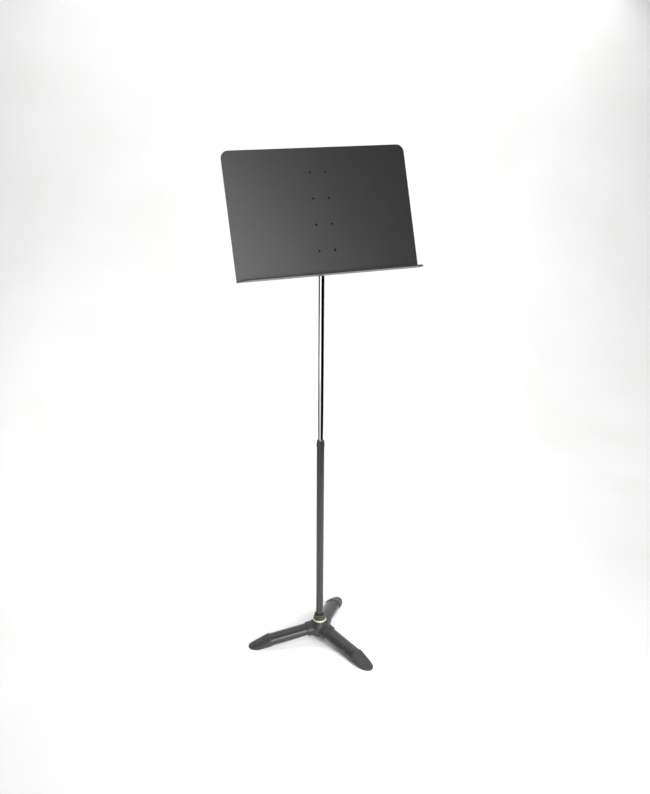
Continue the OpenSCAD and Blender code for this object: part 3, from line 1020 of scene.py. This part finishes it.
class STAND_OT_base_fasteners(StandOperator):
    """Turns the base bolt, its washer and the three leg screws"""

    bl_idname = "stand.base_fasteners"
    bl_label = "Base fasteners"

    LEG_SCREW = 6.6

    def build(self, sizes):
        place = at_height(0)
        bolt = hex_bolt("base_bolt", *span("base_bolt", place), place)
        place_piece("base_bolt_piece", bolt, "base_bolt")
        foot, top = span("base_washer", place)
        rounds = [0.2, 0.4, 0.2, 0.2]
        washer = flat_ring("washer", BOLT_RADIUS, 8.5, foot, top - foot, rounds, 3, place)
        place_piece("base_washer_piece", washer, "base_washer")
        seat = -(sizes.leg_height + 2 * sizes.socket_wall) / 2 / MM
        screws = []
        for number in LEGS:
            place = leg_frame(number, sizes) @ Matrix.Translation((LEG_SCREW_AT * MM, 0, 0))
            screws.append(button_screw(seat + self.LEG_SCREW, seat, LEG_HEAD, place))
        place_piece("leg_screw_set", joined("leg_screws", screws), "leg_screws")


class STAND_OT_collar(StandOperator):
    """Turns the collar nut with its flutes, the coloured ring and the split collet"""

    bl_idname = "stand.collar"
    bl_label = "Collar"

    FLUTES = 24
    FLUTE_DEPTH = 1.5
    # Share of the flutes' pitch that is hollow, the radius outside which the flank lies, and
    # the height of its rows of faces
    FLUTE_SHARE = 0.72
    FLANK = 15.45
    ROW = 0.6

    def build(self, sizes):
        foot, top = span("collar_nut", at_height(0))
        height = top - foot
        outline = fillet(
            [(14.05, 0), (18.6, 0), (18.6, 3.8), (16.2, height - 2.6), (15.6, height),
             (13.2, height), (13.2, height - 3), (14.05, height - 3)],
            [0.3, 0.6, 1.5, 1.2, 0.7, 0.3, 0, 0],
        )
        rows = []
        for (r0, z0), (r1, z1) in zip(outline, outline[1:] + outline[:1]):
            steps = max(1, round(abs(z1 - z0) / self.ROW)) if min(r0, r1) > self.FLANK else 1
            rows += [(r0 + (r1 - r0) * k / steps, z0 + (z1 - z0) * k / steps) for k in range(steps)]

        def fluted(turn, radius, level):
            if radius < self.FLANK:
                return radius
            share = smoothstep(level, 1.8, 4.4) * (1 - smoothstep(level, height - 4.2, height - 1.6))
            phase = turn * self.FLUTES / (2 * math.pi)
            nearest = abs(phase - round(phase)) * 2
            scallop = max(0.0, 1 - (nearest / self.FLUTE_SHARE) ** 2)
            return radius - self.FLUTE_DEPTH * share * scallop

        mesh = turned("collar_nut", rows, at_height(foot), self.FLUTES * 14, fluted)
        place_piece("collar_nut_piece", mesh, "collar_nut", 50)
        foot, top = span("colour_ring", at_height(0))
        rounds = [0.2, 1.1, 1.1, 0.2]
        ring = flat_ring("ring", 14, 20, 0, top - foot, rounds, 6, at_height(foot), 96)
        place_piece("colour_ring_piece", ring, "colour_ring")
        edge_broken("collet_ring", 0.35)


class STAND_OT_guide_bush(StandOperator):
    """Turns the bush that caps the lower tube"""

    bl_idname = "stand.guide_bush"
    bl_label = "Guide bush"

    BORE = 8.05
    SPIGOT = 31

    def build(self, sizes):
        foot, _ = span("guide_bush", at_height(0))
        bore, deep = self.BORE, -self.SPIGOT
        outline = fillet(
            [(bore, deep), (9.5, deep), (9.5, 0), (11.6, 0), (11.6, 7), (10.2, 19), (9, 21),
             (bore, 21)],
            [0.2, 0.5, 0, 0.4, 3.0, 1.6, 0.5, 0.3], steps=6,
        )
        mesh = turned("guide_bush", outline, at_height(foot + self.SPIGOT))
        place_piece("guide_bush_piece", mesh, "guide_bush", 30)


class STAND_OT_head_block(StandOperator):
    """Casts the head of the post, with its bores for the tilt bolt and the pin"""

    bl_idname = "stand.head_block"
    bl_label = "Head block"

    def build(self, sizes):
        edge_broken("head_block", 0.5)


# ---- Stage

class STAND_OT_stage(bpy.types.Operator):
    """Sets the floor and its sweep, the soft lights and the camera"""

    bl_idname = "stand.stage"
    bl_label = "Stage"

    # Sizes of the stage, in metres, behind the middle of the stand
    SWEEP_BACK = 2.6
    SWEEP_RADIUS = 1.4
    SWEEP_TOP = 2.2
    ARC_ROWS = 16
    # Where the sweep stops narrowing towards the camera
    NARROW = -0.64
    # Half the width of the room's floor
    ROOM = 8.0
    WORLD_GLOW = 0.12

    def execute(self, context):
        settings = context.scene.stand_stage
        self.sweep(settings)
        self.lights()
        self.camera(context, settings)
        context.scene.view_settings.view_transform = "Standard"
        return {"FINISHED"}

    def sweep(self, settings):
        """A pale floor that curves up into a wall behind the stand, and the pale floor of the
        room round it. A sheet of paper in front of its left half and a dark floor show only
        in reflections, and the edges between them give the chrome its bands."""
        facing = Matrix.Rotation(-settings.side, 4, "Z")
        flat_end = self.SWEEP_BACK - self.SWEEP_RADIUS
        path = [(back, 0.0) for back in (-0.95, self.NARROW, 0.3, flat_end)]
        for k in range(1, self.ARC_ROWS + 1):
            turn = math.pi / 2 * k / self.ARC_ROWS
            path.append((
                flat_end + self.SWEEP_RADIUS * math.sin(turn),
                self.SWEEP_RADIUS * (1 - math.cos(turn)),
            ))
        path.append((self.SWEEP_BACK, self.SWEEP_TOP))
        rows = []
        for back, up in path:
            half = 1.25 + 0.34 * max(back, self.NARROW)
            rows.append(((-half, back, up), (half, back, up)))
        # Seamless background paper, brightly lit: matt, with a barely uneven tone.
        paper = surface_finish(
            "seamless_paper", {"tone": Grain(400)},
            ("tone", linear_from_hex("#f4f4f3"), linear_from_hex("#f9f9f9")), None, [],
            {"Roughness": 0.9, "Specular IOR Level": 0.1, "Emission Color": (1, 1, 1, 1),
             "Emission Strength": settings.floor_glow},
        )
        self.place_stage("studio_sweep", rows, facing, paper)
        rows = [((-1.7, -0.951, 0), (0.0, -0.951, 0)), ((-3.6, -2.4, 0), (0.0, -2.4, 0))]
        front = self.place_stage("front_paper", rows, facing, paper)
        front.visible_camera = False
        front.visible_shadow = False
        pale = self.place_stage("pale_room_floor", self.room_floor(0.01), facing, paper)
        pale.visible_glossy = False
        pale.visible_diffuse = False
        # The dark carpet of the room round the paper.
        # A dark sheet round the paper, under the pale floor that the camera sees. It shows only in reflections and
        # bounced light: a painted reflection that gives the chrome its dark bands.
        reflection_dark = surface_finish(
            "reflection_dark_sheet", {"reflection_mottle": Grain(4, 3.0)},
            ("reflection_mottle", linear_from_hex("#0d0d0d"), linear_from_hex("#161616")), None, [],
            {"Roughness": 1.0, "Specular IOR Level": 0.0},
        )
        # Painted reflection: this dark sheet is hidden from the camera.
        dark = self.place_stage("reflection_dark_floor", self.room_floor(0.02), facing, reflection_dark)
        dark.visible_camera = False

    def room_floor(self, depth):
        """The corners of the room's floor, that far below the paper."""
        half = self.ROOM
        return [((-half, back, -depth), (half, back, -depth)) for back in (-half, half)]

    def place_stage(self, name, rows, facing, material):
        """A sheet between rows of two points, turned to face the camera."""
        bm = bmesh.new()
        verts = [[bm.verts.new(point) for point in row] for row in rows]
        for lower, upper in zip(verts, verts[1:]):
            bm.faces.new((lower[0], lower[1], upper[1], upper[0]))
        bm.transform(facing)
        mesh = mesh_from(bm, name)
        mesh.shade_smooth()
        mesh.materials.append(material)
        item = add_object(name, mesh)
        return item

    # name, direction (degrees round from +X), height, distance from the post, width and
    # height of its face, (distance, height) of the point that it aims at in that same
    # direction, spread in degrees and radiance
    LIGHTS = (
        ("front_soft", -95, 2.3, 1.8, 1.0, 1.0, (0, 1.2), 180, 2.9),
        ("front_right", -84, 2.0, 2.2, 1.0, 1.0, (0, 1.0), 180, 4.6),
        ("key_soft", -105, 2.5, 2.0, 1.0, 1.0, (0, 1.2), 180, 6.3),
        ("front_card", -142, 0.5, 2.2, 2.4, 1.0, (0, 0.5), 180, 1.4),
        ("low_key", -80, 1.1, 2.1, 1.0, 0.8, (0, 0.05), 50, 1.5),
        ("low_side", -58, 1.1, 1.9, 0.8, 0.8, (0, 0.15), 60, 1.0),
        ("back_left", 125, 2.6, 2.4, 1.6, 1.4, (0, 0.7), 180, 3.9),
        ("back_right", 25, 2.6, 2.4, 1.6, 1.4, (0, 0.7), 180, 3.9),
        ("wall_wash", 69, 2.4, 0.9, 3.2, 0.8, (2.3, 0.7), 180, 3.2),
    )

    def lights(self):
        """A dim even sky and the soft area lights."""
        world = bpy.data.worlds.new("studio")
        bpy.context.scene.world = world
        world.use_nodes = True
        background = world.node_tree.nodes["Background"]
        background.inputs["Color"].default_value = (1, 1, 1, 1)
        background.inputs["Strength"].default_value = self.WORLD_GLOW
        for name, turn, up, away, width, height, aim, spread, radiance in self.LIGHTS:
            light = bpy.data.lights.new(name, "AREA")
            light.shape = "RECTANGLE"
            light.size = width
            light.size_y = height
            light.energy = math.pi * width * height * radiance
            light.spread = math.radians(spread)
            lamp = add_object(name, light)
            turn = math.radians(turn)
            towards = Vector((math.cos(turn), math.sin(turn), 0))
            spot = towards * away + Vector((0, 0, up))
            target = towards * aim[0] + Vector((0, 0, aim[1]))
            lamp.location = post_axis() + spot
            lamp.rotation_euler = (spot - target).to_track_quat("Z", "Y").to_euler()

    def camera(self, context, settings):
        """The camera, placed by its distance from the post and turned by its angles."""
        camera = bpy.data.cameras.new("camera")
        camera.lens = settings.lens
        camera.sensor_width = 36.0
        eye = add_object("camera", camera)
        back = Vector((-math.sin(settings.side), -math.cos(settings.side), 0))
        eye.location = post_axis() + back * settings.distance + Vector((0, 0, settings.height))
        turn = Matrix.Rotation(-settings.side - settings.pan, 4, "Z")
        tilt = Matrix.Rotation(math.pi / 2 - settings.down, 4, "X")
        lean = Matrix.Rotation(settings.roll, 4, "Z")
        eye.rotation_euler = (turn @ tilt @ lean).to_euler()
        context.scene.camera = eye


class STAND_PT_panel(bpy.types.Panel):
    """Lists the stand's settings and the pieces to build"""

    bl_idname = "STAND_PT_panel"
    bl_label = "Music Stand"
    bl_space_type = "VIEW_3D"
    bl_region_type = "UI"
    bl_category = "Music Stand"

    def draw(self, context):
        for group in ("stand_sizes", "stand_finishes", "stand_stage"):
            settings = getattr(context.scene, group)
            box = self.layout.box()
            for name in settings.__annotations__:
                box.prop(settings, name)
        column = self.layout.column()
        for operator in OPERATORS:
            column.operator(operator.bl_idname)


OPERATORS = (
    STAND_OT_finishes, STAND_OT_desk_sheet, STAND_OT_desk_channel, STAND_OT_desk_rivets,
    STAND_OT_tilt_bracket, STAND_OT_tilt_hinge, STAND_OT_hub, STAND_OT_feet,
    STAND_OT_base_fasteners, STAND_OT_collar, STAND_OT_guide_bush, STAND_OT_head_block,
    STAND_OT_stage,
)
GROUPS = {
    "stand_sizes": StandSizes, "stand_finishes": StandFinishes, "stand_stage": StandStage,
}


def register():
    """Registers the settings, the operators and the panel."""
    for name, group in GROUPS.items():
        bpy.utils.register_class(group)
        setattr(bpy.types.Scene, name, bpy.props.PointerProperty(type=group))
    for cls in OPERATORS + (STAND_PT_panel,):
        bpy.utils.register_class(cls)


def unregister():
    """Takes back what register() added."""
    for cls in reversed(OPERATORS + (STAND_PT_panel,)):
        bpy.utils.unregister_class(cls)
    for name, group in GROUPS.items():
        delattr(bpy.types.Scene, name)
        bpy.utils.unregister_class(group)


def main():
    """Builds the stand and its stage."""
    register()
    for operator in OPERATORS:
        category, name = operator.bl_idname.split(".")
        getattr(getattr(bpy.ops, category), name)()


if __name__ == "__main__":
    main()
